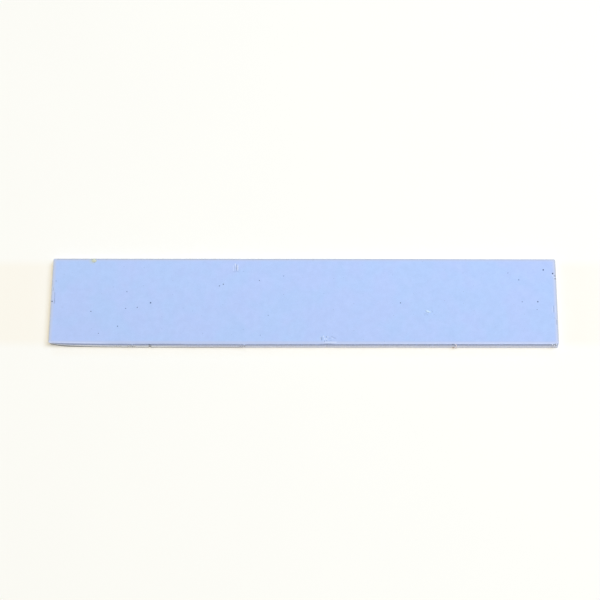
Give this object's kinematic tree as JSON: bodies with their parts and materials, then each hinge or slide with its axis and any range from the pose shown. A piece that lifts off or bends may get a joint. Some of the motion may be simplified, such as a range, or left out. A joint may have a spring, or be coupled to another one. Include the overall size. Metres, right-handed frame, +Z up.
{
  "type": "thermal pad",
  "caption": "Thin flat strip of soft blue silicone that carries heat across the gap between a component and its heatsink.",
  "frame": {"origin": "middle of the foot, on the face that lies on the floor", "axes": "+X along the strip, +Y across it towards the back edge, +Z up through the thickness"},
  "size_m": [0.1206, 0.0218, 0.002],
  "materials": {
    "silicone": "matt, soft, periwinkle blue"
  },
  "bodies": {
    "root": {"thermal_pad": "silicone"}
  },
  "joints": []
}
